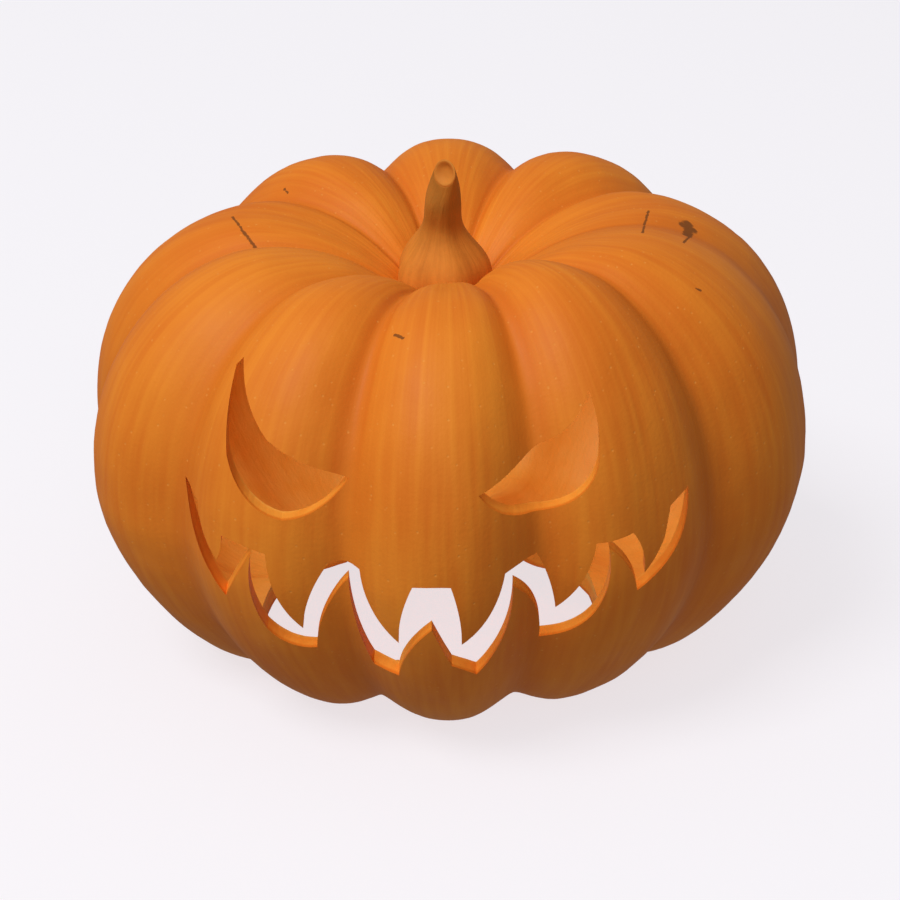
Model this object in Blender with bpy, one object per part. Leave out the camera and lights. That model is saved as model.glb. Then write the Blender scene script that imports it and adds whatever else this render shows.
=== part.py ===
"""Carved pumpkin lantern: one hollow, ten-lobed pumpkin with its own stem, a carved face and an opening in its base.

Metres, +Z up. The origin is on the ground under the middle of the pumpkin, and the face looks along -Y.
Lengths are written in millimetres and turned into metres by MM. Heights on the pumpkin are counted from its equator.
"""

import math

import bmesh
import bpy
from mathutils import Quaternion, Vector

MM = 0.001

# The pumpkin's axis and equator, seen from the origin.
AXIS_X = 0.6
AXIS_Y = -6.0
EQUATOR_HEIGHT = 83.0

# Half-sections of the body: (radius, height) where it meets the stem, at its crown, equator and base, and at the
# sill inside its base. The handles say how full each curve between two of these is.
CREST = {
    "stem": (14.0, 60.0),
    "crown": (74.2, 92.1),
    "equator": 144.7,
    "base": (79.8, -85.2),
    "sill": (36.0, -72.0),
    "handles": (0.30, 0.55, 0.41, 0.67, 0.37, 0.48, 0.50, 0.30),
}
GROOVE = {
    "stem": (14.0, 60.0),
    "crown": (70.5, 85.8),
    "equator": 133.0,
    "base": (81.9, -77.3),
    "sill": (36.0, -66.0),
    "handles": (0.30, 0.57, 0.39, 0.64, 0.43, 0.45, 0.50, 0.30),
}

# Each lobe, round from the front towards +X: where it starts in degrees, how far it reaches out, how much its crown
# is lifted, and how deep the groove is that it starts at.
LOBES = (
    (-18.3, 0.951, -3.7, 1.05),
    (15.1, 0.919, 1.6, 1.08),
    (50.6, 0.987, -0.5, 0.94),
    (92.2, 1.053, -3.4, 0.39),
    (124.3, 1.047, 2.6, 1.12),
    (159.7, 1.032, 4.1, 1.45),
    (198.9, 1.011, 3.7, 1.38),
    (237.9, 1.046, -4.1, 1.03),
    (272.2, 1.009, -3.2, 1.09),
    (309.7, 0.949, -3.7, 0.86),
)
GROOVE_SHARPNESS = 2.46
SOFT_CROWN = 0.11  # how rounded a groove's floor is at the crown, the equator and the base
SOFT_EQUATOR = 0.28
SOFT_BASE = 0.34

# Stations along a half-section.
STEM, CROWN, EQUATOR, BASE, SILL = range(5)

WALL_CROWN = 10.0
WALL_SIDE = 7.0
WALL_BASE = 9.5

SKIN_COLUMNS_PER_LOBE = 10
SKIN_ROWS = (5, 7, 9, 3)  # rows of faces between neighbouring stations
CAVITY_COLUMNS_PER_LOBE = 5
CAVITY_ROWS = (3, 4, 5, 2)

# The face, looked at from the front: (x, height, swell). An edge runs on to the next corner as an arc that swells
# by that much to its left, or to its right where the swell is negative.
LEFT_EYE = (
    (-75.0, 69.5, 0.0),
    (-77.8, 66.6, -1.2),
    (-81.1, 41.3, -4.6),
    (-61.2, 22.9, -3.3),
    (-36.6, 36.7, 0.8),
    (-65.6, 49.6, 2.2),
)
RIGHT_EYE = (
    (49.4, 65.0, 1.0),
    (53.1, 45.5, 1.5),
    (47.8, 31.8, 1.5),
    (32.3, 24.3, 1.0),
    (19.4, 27.7, 0.7),
    (9.4, 37.4, -0.8),
    (30.8, 46.8, -3.0),
)
LOWER_LIP = (
    (-99.0, 23.1, -3.0),
    (-84.2, -14.4, 0.5),
    (-73.1, 8.6, -3.2),
    (-68.9, -25.2, -2.5),
    (-50.8, -33.3, 3.1),
    (-38.0, -0.7, -1.7),
    (-29.9, -40.3, 0.0),
    (-20.6, -41.3, 2.6),
    (-8.0, -13.4, 0.0),
    (-1.0, -32.0, 0.4),
    (8.0, -38.7, -3.7),
    (21.5, -0.3, 3.6),
    (31.3, -30.3, -2.9),
    (52.0, -17.2, -2.5),
    (56.4, 9.9, 2.2),
    (67.4, -11.1, -6.5),
)
UPPER_LIP = (
    (-99.0, 23.1, 0.0),
    (-93.4, 19.5, -1.7),
    (-86.9, 0.6, -0.6),
    (-84.3, 11.6, 0.1),
    (-67.8, 9.2, -3.2),
    (-55.4, -22.8, 2.5),
    (-44.3, 6.3, 0.8),
    (-33.7, 5.0, -3.1),
    (-20.1, -22.0, 1.5),
    (-14.6, 4.5, 0.3),
    (-0.9, 4.9, 1.1),
    (2.7, -20.8, -2.9),
    (18.6, 6.1, 0.3),
    (30.3, 8.6, 1.2),
    (37.2, -15.5, -2.8),
    (51.9, 12.0, -0.5),
    (65.4, 13.8, 1.6),
    (70.0, -4.0, -0.7),
    (77.5, 8.0, 0.0),
    (79.6, 19.4, 0.0),
    (86.5, 23.4, 0.0),
)
ARC_STEP = 9.0  # a swelling edge has a corner about this often
FACE_CUT_FRONT = -200.0
FACE_CUT_BACK = -35.0

# The opening in the base, cut by hand, looked at from above: (x, y, swell), with its edges as on the face.
BASE_OPENING = (
    (60.5, -24.0, -1.0),
    (57.0, -3.5, -0.3),
    (40.0, 10.8, -0.6),
    (28.0, 14.8, -3.0),
    (-46.0, 20.9, 0.0),
    (-56.5, 24.6, -0.5),
    (-76.5, -7.5, -0.8),
    (-80.5, -22.0, -2.5),
    (-73.0, -48.0, -3.5),
    (-48.0, -65.0, -1.5),
    (-10.0, -68.0, -1.5),
    (30.0, -64.0, -2.5),
    (52.0, -48.0, -2.5),
)
OPENING_TOP = -45.0
OPENING_BOTTOM = -95.0

# The stem: the Bezier handles of its axis, from inside the crown to its cut end, and its radius along the way.
STEM_AXIS = ((-2.0, 0.0, 55.0), (-2.0, 0.5, 88.0), (-2.6, -3.0, 98.0), (-1.6, -12.2, 116.7))
FOOT_RADIUS = 18.6
NECK_RADIUS = 7.3
TIP_RADIUS = 5.1
FOOT_TUCK = 6.6  # how much narrower the foot is where it is buried in the crown
TUCK_END = 0.15  # these are shares of the stem's length
FLARE_START = 0.18
FLARE_LENGTH = 0.24
TIP_START = 0.65
STEM_RIBS = 5
STEM_RIB_DEPTH = 0.06
STEM_TWIST = 0.6  # radians from foot to tip
STEM_COLUMNS = 20
STEM_ROWS = 16
STEM_SLANT = 0.4  # radians that the cut end leans forward of square
STEM_DISH = 1.2  # how far the middle of the cut end has shrunk in


def cubic(a, b, c, d, t):
    """A point on the Bezier curve from a to d with the handles b and c."""
    s = 1.0 - t
    return tuple(
        s**3 * p + 3 * s * s * t * q + 3 * s * t * t * r + t**3 * w for p, q, r, w in zip(a, b, c, d)
    )


def half_section(shape, station):
    """(radius, height) on a half-section, at a station from STEM to SILL."""
    (stem_r, stem_z), (crown_r, crown_z) = shape["stem"], shape["crown"]
    (base_r, base_z), (sill_r, sill_z) = shape["base"], shape["sill"]
    wide = shape["equator"]
    rise, funnel, shoulder, side_up, side_down, haunch, floor, lip = shape["handles"]
    curves = (
        (
            (stem_r, stem_z),
            (stem_r + 0.5 * rise * (crown_r - stem_r), stem_z + rise * (crown_z - stem_z)),
            (crown_r - funnel * (crown_r - stem_r), crown_z),
            (crown_r, crown_z),
        ),
        (
            (crown_r, crown_z),
            (crown_r + shoulder * (wide - crown_r), crown_z),
            (wide, side_up * crown_z),
            (wide, 0.0),
        ),
        (
            (wide, 0.0),
            (wide, side_down * base_z),
            (base_r + haunch * (wide - base_r), base_z),
            (base_r, base_z),
        ),
        (
            (base_r, base_z),
            (base_r - floor * (base_r - sill_r), base_z),
            (sill_r + lip * (base_r - sill_r), sill_z),
            (sill_r, sill_z),
        ),
    )
    curve = min(int(station), len(curves) - 1)
    return Vector(cubic(*curves[curve], station - curve))


def inset_section(shape, station, inset):
    """A half-section's point, moved in by inset square to the curve."""
    step = 0.01
    along = half_section(shape, min(station + step, SILL)) - half_section(shape, max(station - step, STEM))
    inward = Vector((along.y, -along.x)).normalized()
    return half_section(shape, station) + inward * inset


def lobe_value(index, across, which):
    """A lobe's own value at its crest, running smoothly to the mean of two neighbours at each groove."""
    own = LOBES[index][which]
    other = LOBES[index - 1] if across < 0.5 else LOBES[(index + 1) % len(LOBES)]
    towards_groove = 0.5 + 0.5 * math.cos(2.0 * math.pi * min(across, 1.0 - across))
    return own + 0.5 * (other[which] - own) * towards_groove


def groove_share(across, station):
    """1 on a groove's floor and 0 on the crest, with a floor rounded by how soft the groove is there."""
    height = abs(station - EQUATOR)
    end = SOFT_CROWN if station < EQUATOR else SOFT_BASE
    soft = SOFT_EQUATOR + (end - SOFT_EQUATOR) * min(height, 1.0)
    from_groove = 1.0 - abs(2.0 * across - 1.0)
    rounded = (math.hypot(from_groove, soft) - soft) / (math.hypot(1.0, soft) - soft)
    return (1.0 - rounded) ** GROOVE_SHARPNESS


def wall(station):
    """The wall's thickness at a station."""
    if station < EQUATOR:
        return WALL_CROWN + (WALL_SIDE - WALL_CROWN) * min(station / EQUATOR, 1.0)
    return WALL_SIDE + (WALL_BASE - WALL_SIDE) * min(station - EQUATOR, 1.0)


def body_point(turn, station, inset=0.0):
    """A point of the skin, or one inset below it. turn counts lobes round the pumpkin, and parts of one."""
    index = int(turn) % len(LOBES)
    following = LOBES[(index + 1) % len(LOBES)]
    across = turn - int(turn)
    start, depth = LOBES[index][0], LOBES[index][3]
    angle = math.radians(start + (following[0] - start) % 360.0 * across)
    share = groove_share(across, station) * (depth + (following[3] - depth) * across)
    crest = inset_section(CREST, station, inset)
    groove = inset_section(GROOVE, station, inset)
    radius, height = crest + (groove - crest) * share
    radius *= lobe_value(index, across, 1)
    height += math.sin(0.5 * math.pi * max(min(EQUATOR - station, station), 0.0)) * lobe_value(index, across, 2)
    return Vector((radius * math.sin(angle), -radius * math.cos(angle), height))


def stations(rows):
    """The stations of all the rings, with rows[i] faces between station i and the next."""
    found = [i + j / count for i, count in enumerate(rows) for j in range(count)]
    return found + [float(SILL)]


def add_object(name, mesh_tool, colour=None):
    """Turns a bmesh in millimetres into an object placed on the pumpkin's axis, with its own material."""
    bmesh.ops.recalc_face_normals(mesh_tool, faces=mesh_tool.faces)
    bmesh.ops.scale(mesh_tool, vec=(MM, MM, MM), verts=mesh_tool.verts)
    mesh = bpy.data.meshes.new(name)
    mesh_tool.to_mesh(mesh)
    mesh_tool.free()
    made = bpy.data.objects.new(name, mesh)
    made.location = (AXIS_X * MM, AXIS_Y * MM, EQUATOR_HEIGHT * MM)
    bpy.context.scene.collection.objects.link(made)
    if colour:
        material = bpy.data.materials.new(name)
        material.use_nodes = True
        shader = material.node_tree.nodes["Principled BSDF"]
        shader.inputs["Base Color"].default_value = (*colour, 1.0)
        shader.inputs["Roughness"].default_value = 0.55
        shader.inputs["Metallic"].default_value = 0.0
        mesh.materials.append(material)
    else:
        made.display_type = "WIRE"
        made.hide_render = True
        made.hide_set(True)
    return made


def skinned(rings, smooth=True):
    """A closed bmesh through rings of points that have one length, with a flat face over each end."""
    mesh_tool = bmesh.new()
    loops = [[mesh_tool.verts.new(point) for point in ring] for ring in rings]
    for upper, lower in zip(loops, loops[1:]):
        for i in range(len(upper)):
            j = (i + 1) % len(upper)
            mesh_tool.faces.new((upper[i], upper[j], lower[j], lower[i])).smooth = smooth
    mesh_tool.faces.new(loops[0])
    mesh_tool.faces.new(loops[-1])
    return mesh_tool


def make_body():
    """The solid pumpkin. Its lobes are flattened a little where they rest on the ground."""
    columns = SKIN_COLUMNS_PER_LOBE * len(LOBES)
    rings = []
    for station in stations(SKIN_ROWS):
        ring = [body_point(i / SKIN_COLUMNS_PER_LOBE, station) for i in range(columns)]
        for point in ring:
            point.z = max(point.z, -EQUATOR_HEIGHT)
        rings.append(ring)
    return add_object("pumpkin", skinned(rings), colour=(0.82, 0.23, 0.024))


def make_cavity():
    """What is scooped out of the pumpkin."""
    columns = CAVITY_COLUMNS_PER_LOBE * len(LOBES)
    rings = [
        [body_point(i / CAVITY_COLUMNS_PER_LOBE, station, wall(station)) for i in range(columns)]
        for station in stations(CAVITY_ROWS)
    ]
    return add_object("cavity", skinned(rings))


def stem_radius(along):
    """The stem's mean radius at a share of its length: a tucked foot, a flare, a neck and a tapered tip."""
    foot = math.exp(-((max(along - FLARE_START, 0.0) / FLARE_LENGTH) ** 2.5))
    tuck = FOOT_TUCK * max(1.0 - along / TUCK_END, 0.0) ** 2
    taper = (max(along - TIP_START, 0.0) / (1.0 - TIP_START)) ** 2
    return NECK_RADIUS + (FOOT_RADIUS - NECK_RADIUS) * foot - tuck - (NECK_RADIUS - TIP_RADIUS) * taper


def stem_ring(along, radius, sunk=0.0):
    """A ribbed ring across the stem: square to its axis low down, and slanting like the cut towards the tip."""
    centre = Vector(cubic(*STEM_AXIS, along))
    ahead = Vector(cubic(*STEM_AXIS, min(along + 0.01, 1.0)))
    behind = Vector(cubic(*STEM_AXIS, max(along - 0.01, 0.0)))
    up = (ahead - behind).normalized()
    side = Vector((0.0, 1.0, 0.0)).cross(up).normalized()
    up.rotate(Quaternion(side, STEM_SLANT * max(along - TIP_START, 0.0) / (1.0 - TIP_START)))
    depth = up.cross(side)
    ring = []
    for i in range(STEM_COLUMNS):
        angle = 2.0 * math.pi * i / STEM_COLUMNS
        ribbed = radius * (1.0 + STEM_RIB_DEPTH * math.cos(STEM_RIBS * angle + STEM_TWIST * along))
        ring.append(centre + (side * math.cos(angle) + depth * math.sin(angle)) * ribbed - up * sunk)
    return ring


def make_stem():
    """The ribbed stem, flared at its foot, with a shallow dish in its cut end."""
    rings = [stem_ring(i / STEM_ROWS, stem_radius(i / STEM_ROWS)) for i in range(STEM_ROWS + 1)]
    rings.append(stem_ring(1.0, 0.55 * TIP_RADIUS, sunk=STEM_DISH))
    return add_object("stem", skinned(rings))


def arc_points(start, end, swell):
    """The points of an edge from start up to, but without, end: a shallow arc that swells to the edge's left."""
    chord = end - start
    left = Vector((-chord.y, chord.x)).normalized()
    pieces = max(1, round(chord.length / ARC_STEP)) if abs(swell) > 0.2 else 1
    shares = [i / pieces for i in range(pieces)]
    return [start + chord * t + left * swell * 4.0 * t * (1.0 - t) for t in shares]


def edge_run(corners, closed):
    """The points along an outline's edges, with its last corner if the outline is open."""
    places = [Vector(corner[:2]) for corner in corners]
    ends = places[1:] + places[:1] if closed else places[1:]
    points = []
    for place, end, corner in zip(places, ends, corners):
        points += arc_points(place, end, corner[2])
    return points if closed else points + [places[-1]]


def mouth_outline():
    """The lower lip from left to right, then the upper lip back again."""
    lower = edge_run(LOWER_LIP + (UPPER_LIP[-1],), closed=False)
    upper = edge_run(UPPER_LIP, closed=False)
    return lower + upper[-2:0:-1]


def make_prism(name, near, far):
    """A cutter between two copies of one outline."""
    return add_object(name, skinned((near, far), smooth=False))


def face_cutter(name, outline):
    """A cutter that passes straight back through the front wall."""
    near = [Vector((x, FACE_CUT_FRONT, z)) for x, z in outline]
    far = [Vector((x, FACE_CUT_BACK, z)) for x, z in outline]
    return make_prism(name, near, far)


def opening_cutter():
    """A cutter that passes up through the base."""
    outline = edge_run(BASE_OPENING, closed=True)
    low = [Vector((x, y, OPENING_BOTTOM)) for x, y in outline]
    high = [Vector((x, y, OPENING_TOP)) for x, y in outline]
    return make_prism("base_opening", low, high)


def combine(target, tool, operation):
    """Joins or cuts the target with the tool."""
    step = target.modifiers.new(tool.name, "BOOLEAN")
    step.operation = operation
    step.solver = "EXACT"
    step.object = tool


for old in list(bpy.data.objects):
    bpy.data.objects.remove(old)

pumpkin = make_body()
combine(pumpkin, make_stem(), "UNION")
combine(pumpkin, make_cavity(), "DIFFERENCE")
combine(pumpkin, opening_cutter(), "DIFFERENCE")
combine(pumpkin, face_cutter("left_eye", edge_run(LEFT_EYE, closed=True)), "DIFFERENCE")
combine(pumpkin, face_cutter("right_eye", edge_run(RIGHT_EYE, closed=True)), "DIFFERENCE")
combine(pumpkin, face_cutter("mouth", mouth_outline()), "DIFFERENCE")
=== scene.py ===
import math

import bmesh
import bpy
import numpy as np
from mathutils import Matrix, Vector


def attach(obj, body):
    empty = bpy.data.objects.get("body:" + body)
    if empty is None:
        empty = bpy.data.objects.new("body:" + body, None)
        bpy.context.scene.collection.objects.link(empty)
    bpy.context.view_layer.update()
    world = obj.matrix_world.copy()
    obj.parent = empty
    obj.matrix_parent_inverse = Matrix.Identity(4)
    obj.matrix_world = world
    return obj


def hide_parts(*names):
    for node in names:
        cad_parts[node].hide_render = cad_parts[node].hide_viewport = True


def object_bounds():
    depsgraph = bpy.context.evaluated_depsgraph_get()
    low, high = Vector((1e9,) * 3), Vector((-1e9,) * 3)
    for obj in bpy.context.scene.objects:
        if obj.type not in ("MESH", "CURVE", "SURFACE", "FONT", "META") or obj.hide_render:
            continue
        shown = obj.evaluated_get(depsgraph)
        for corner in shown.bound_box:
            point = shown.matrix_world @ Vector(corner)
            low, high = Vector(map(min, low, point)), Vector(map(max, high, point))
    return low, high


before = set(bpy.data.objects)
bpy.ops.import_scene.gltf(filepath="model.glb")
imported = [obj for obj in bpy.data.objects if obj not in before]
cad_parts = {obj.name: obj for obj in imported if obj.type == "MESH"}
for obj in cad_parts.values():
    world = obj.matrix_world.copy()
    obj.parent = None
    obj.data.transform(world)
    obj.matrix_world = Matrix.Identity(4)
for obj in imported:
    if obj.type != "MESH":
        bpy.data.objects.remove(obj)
cad_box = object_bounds()

# ---------------------------------------------------------------------------------------------------------
# The scooped pumpkin shell. It is one ten-lobed fruit, a waxy orange rind over 7 to 10 mm of firm flesh,
# hollowed with a spoon through its base. The eyes and the mouth are cut straight back through the wall with
# a knife, and the lobes are flattened a little where the fruit rested on the ground.

MM = 0.001
CENTRE = Vector((0.6, -6.0, 83.0)) * MM  # the fruit's axis, at the height of its widest ring

# Half-sections over a lobe's crest and down a groove, from the stem to the sill round the base opening:
# (radius, height) in millimetres at four stations, the widest radius, and how far the handles reach.
CREST = {
    "stem": (14.0, 60.0),
    "crown": (74.2, 92.1),
    "widest": 144.7,
    "base": (79.8, -85.2),
    "sill": (36.0, -72.0),
    "fullness": (0.30, 0.55, 0.41, 0.67, 0.37, 0.48, 0.50, 0.30),
}
GROOVE = {
    "stem": (14.0, 60.0),
    "crown": (70.5, 85.8),
    "widest": 133.0,
    "base": (81.9, -77.3),
    "sill": (36.0, -66.0),
    "fullness": (0.30, 0.57, 0.39, 0.64, 0.43, 0.45, 0.50, 0.30),
}
STEM, CROWN, WIDEST, BASE, SILL = range(5)  # the stations

# Lobes from the front towards +X: the angle in degrees where each starts, its reach, its lift at the crown
# in millimetres, and the depth of the groove that it starts at.
LOBES = (
    (-18.3, 0.951, -3.7, 1.05),
    (15.1, 0.919, 1.6, 1.08),
    (50.6, 0.987, -0.5, 0.94),
    (92.2, 1.053, -3.4, 0.39),
    (124.3, 1.047, 2.6, 1.12),
    (159.7, 1.032, 4.1, 1.45),
    (198.9, 1.011, 3.7, 1.38),
    (237.9, 1.046, -4.1, 1.03),
    (272.2, 1.009, -3.2, 1.09),
    (309.7, 0.949, -3.7, 0.86),
)
GROOVE_SHARPNESS = 2.46
SOFT_CROWN, SOFT_WIDEST, SOFT_BASE = 0.11, 0.28, 0.34  # how rounded the groove's bottom is
WALL_CROWN, WALL_SIDE, WALL_BASE = 10.0, 7.0, 9.5  # the wall's thickness in millimetres
SKIN_ROWS = (34, 44, 44, 14)  # rows of faces between neighbouring stations
CAVITY_ROWS = (16, 26, 26, 8)
SKIN_COLUMNS, CAVITY_COLUMNS = 400, 200


def bezier(a, b, c, d, t):
    """A point on the curve from a to d with the handles b and c."""
    s = 1.0 - t
    weights = (s**3, 3.0 * s * s * t, 3.0 * s * t * t, t**3)
    return Vector([sum(w * x for w, x in zip(weights, axis)) for axis in zip(a, b, c, d)])


def half_section(shape, station):
    """(radius, height) on a half-section, at a station from STEM to SILL."""
    (stem_r, stem_z), (crown_r, crown_z) = shape["stem"], shape["crown"]
    (base_r, base_z), (sill_r, sill_z) = shape["base"], shape["sill"]
    wide = shape["widest"]
    rise, funnel, shoulder, up, down, haunch, floor, lip = shape["fullness"]
    curves = (
        (
            (stem_r, stem_z),
            (stem_r + 0.5 * rise * (crown_r - stem_r), stem_z + rise * (crown_z - stem_z)),
            (crown_r - funnel * (crown_r - stem_r), crown_z),
            (crown_r, crown_z),
        ),
        (
            (crown_r, crown_z),
            (crown_r + shoulder * (wide - crown_r), crown_z),
            (wide, up * crown_z),
            (wide, 0.0),
        ),
        (
            (wide, 0.0),
            (wide, down * base_z),
            (base_r + haunch * (wide - base_r), base_z),
            (base_r, base_z),
        ),
        (
            (base_r, base_z),
            (base_r - floor * (base_r - sill_r), base_z),
            (sill_r + lip * (base_r - sill_r), sill_z),
            (sill_r, sill_z),
        ),
    )
    curve = min(int(station), len(curves) - 1)
    return bezier(*curves[curve], station - curve)


def inset_section(shape, station, inset):
    """A half-section's point, moved in by inset square to the curve."""
    step = 0.01
    after = half_section(shape, min(station + step, SILL))
    along = after - half_section(shape, max(station - step, STEM))
    return half_section(shape, station) + Vector((along.y, -along.x)).normalized() * inset


def no_wall(station):
    """The skin lies on the half-sections themselves."""
    return 0.0


def wall(station):
    """The wall's thickness at a station."""
    if station < WIDEST:
        return WALL_CROWN + (WALL_SIDE - WALL_CROWN) * station / WIDEST
    return WALL_SIDE + (WALL_BASE - WALL_SIDE) * min(station - WIDEST, 1.0)


def table_object(name, columns):
    """A row of points that holds one list of numbers for each named column, for a node tree to look up."""
    count = len(next(iter(columns.values())))
    mesh = bpy.data.meshes.new(name)
    mesh.from_pydata([(0.0, 0.0, 0.0)] * count, [], [])
    for column, values in columns.items():
        kind = "FLOAT" if np.ndim(values) == 1 else "FLOAT_VECTOR"
        layer = mesh.attributes.new(column, kind, "POINT")
        layer.data.foreach_set("value" if kind == "FLOAT" else "vector", np.ravel(values))
    made = bpy.data.objects.new(name, mesh)
    bpy.context.scene.collection.objects.link(made)
    return made


def section_table(name, rows, thickness):
    """The half-sections of a surface that lies thickness(station) inside the skin, ring by ring."""
    stations = [i + j / count for i, count in enumerate(rows) for j in range(count)] + [float(SILL)]
    crest = [inset_section(CREST, s, thickness(s)) * MM for s in stations]
    groove = [inset_section(GROOVE, s, thickness(s)) * MM for s in stations]
    height = [min(abs(s - WIDEST), 1.0) for s in stations]
    end = [SOFT_CROWN if s < WIDEST else SOFT_BASE for s in stations]
    return table_object(name, {
        "crest_radius": [p.x for p in crest],
        "crest_height": [p.y for p in crest],
        "groove_radius": [p.x for p in groove],
        "groove_height": [p.y for p in groove],
        "softness": [SOFT_WIDEST + (e - SOFT_WIDEST) * h for e, h in zip(end, height)],
        "lift_share": [math.sin(0.5 * math.pi * max(min(WIDEST - s, s), 0.0)) for s in stations],
    })


skin_table = section_table("skin_sections", SKIN_ROWS, no_wall)
cavity_table = section_table("cavity_sections", CAVITY_ROWS, wall)
starts = [lobe[0] for lobe in LOBES]
next_starts = starts[1:] + starts[:1]
lobe_table = table_object("lobes", {
    "start": [math.radians(start) for start in starts],
    "span": [math.radians((after - start) % 360.0) for start, after in zip(starts, next_starts)],
    "reach": [lobe[1] for lobe in LOBES],
    "lift": [lobe[2] * MM for lobe in LOBES],
    "depth": [lobe[3] for lobe in LOBES],
})

# Each opening, looked at from the front: (x, height, swell) in millimetres from the fruit's centre. An edge
# runs on to the next corner as an arc that swells by that much to its left, or to its right where negative.
LEFT_EYE = (
    (-75.0, 69.5, 0.0),
    (-77.8, 66.6, -1.2),
    (-81.1, 41.3, -4.6),
    (-61.2, 22.9, -3.3),
    (-36.6, 36.7, 0.8),
    (-65.6, 49.6, 2.2),
)
RIGHT_EYE = (
    (49.4, 65.0, 1.0),
    (53.1, 45.5, 1.5),
    (47.8, 31.8, 1.5),
    (32.3, 24.3, 1.0),
    (19.4, 27.7, 0.7),
    (9.4, 37.4, -0.8),
    (30.8, 46.8, -3.0),
)
LOWER_LIP = (
    (-99.0, 23.1, -3.0),
    (-84.2, -14.4, 0.5),
    (-73.1, 8.6, -3.2),
    (-68.9, -25.2, -2.5),
    (-50.8, -33.3, 3.1),
    (-38.0, -0.7, -1.7),
    (-29.9, -40.3, 0.0),
    (-20.6, -41.3, 2.6),
    (-8.0, -13.4, 0.0),
    (-1.0, -32.0, 0.4),
    (8.0, -38.7, -3.7),
    (21.5, -0.3, 3.6),
    (31.3, -30.3, -2.9),
    (52.0, -17.2, -2.5),
    (56.4, 9.9, 2.2),
    (67.4, -11.1, -6.5),
)
UPPER_LIP = (
    (-99.0, 23.1, 0.0),
    (-93.4, 19.5, -1.7),
    (-86.9, 0.6, -0.6),
    (-84.3, 11.6, 0.1),
    (-67.8, 9.2, -3.2),
    (-55.4, -22.8, 2.5),
    (-44.3, 6.3, 0.8),
    (-33.7, 5.0, -3.1),
    (-20.1, -22.0, 1.5),
    (-14.6, 4.5, 0.3),
    (-0.9, 4.9, 1.1),
    (2.7, -20.8, -2.9),
    (18.6, 6.1, 0.3),
    (30.3, 8.6, 1.2),
    (37.2, -15.5, -2.8),
    (51.9, 12.0, -0.5),
    (65.4, 13.8, 1.6),
    (70.0, -4.0, -0.7),
    (77.5, 8.0, 0.0),
    (79.6, 19.4, 0.0),
    (86.5, 23.4, 0.0),
)
FACE_CUT = (-200.0, -35.0)  # how far the face's cuts run along Y

# The opening in the base that the fruit was scooped out through, looked at from above: (x, y, swell).
BASE_OPENING = (
    (60.5, -24.0, -1.0),
    (57.0, -3.5, -0.3),
    (40.0, 10.8, -0.6),
    (28.0, 14.8, -3.0),
    (-46.0, 20.9, 0.0),
    (-56.5, 24.6, -0.5),
    (-76.5, -7.5, -0.8),
    (-80.5, -22.0, -2.5),
    (-73.0, -48.0, -3.5),
    (-48.0, -65.0, -1.5),
    (-10.0, -68.0, -1.5),
    (30.0, -64.0, -2.5),
    (52.0, -48.0, -2.5),
)
BASE_CUT = (-95.0, -45.0)  # how far the base's cut runs in height
ARC_STEP = 2.5  # a swelling edge has a corner about this often


def edge_run(corners, closed):
    """The points along an outline's edges, with its last corner if the outline is open."""
    places = [Vector(corner[:2]) for corner in corners]
    ends = places[1:] + places[:1] if closed else places[1:]
    points = []
    for place, end, corner in zip(places, ends, corners):
        chord = end - place
        left = Vector((-chord.y, chord.x)).normalized()
        pieces = max(1, round(chord.length / ARC_STEP))
        for i in range(pieces):
            t = i / pieces
            points.append(place + chord * t + left * corner[2] * 4.0 * t * (1.0 - t))
    return points if closed else points + [places[-1]]


def mouth_outline():
    """The lower lip from left to right, then the upper lip back again."""
    lower = edge_run(LOWER_LIP + (UPPER_LIP[-1],), closed=False)
    upper = edge_run(UPPER_LIP, closed=False)
    return lower + upper[-2:0:-1]


def knife_object():
    """What the knife takes away: a prism for each eye, the mouth and the base opening."""
    fronts = (edge_run(LEFT_EYE, True), edge_run(RIGHT_EYE, True), mouth_outline())
    prisms = [[[Vector((p.x, y, p.y)) for p in outline] for y in FACE_CUT] for outline in fronts]
    base = edge_run(BASE_OPENING, True)
    prisms.append([[Vector((p.x, p.y, z)) for p in base] for z in BASE_CUT])
    points, faces = [], []
    for near, far in prisms:
        first, count = len(points), len(near)
        points += [CENTRE + p * MM for p in near + far]
        near_ring = [first + i for i in range(count)]
        far_ring = [i + count for i in near_ring]
        faces += [near_ring, far_ring]
        for i in range(count):
            after = (i + 1) % count
            faces.append([near_ring[i], near_ring[after], far_ring[after], far_ring[i]])
    mesh = bpy.data.meshes.new("knife")
    mesh.from_pydata(points, [], faces)
    tool = bmesh.new()
    tool.from_mesh(mesh)
    bmesh.ops.recalc_face_normals(tool, faces=tool.faces)
    tool.to_mesh(mesh)
    tool.free()
    made = bpy.data.objects.new("knife", mesh)
    bpy.context.scene.collection.objects.link(made)
    return made


knife = knife_object()


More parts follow.
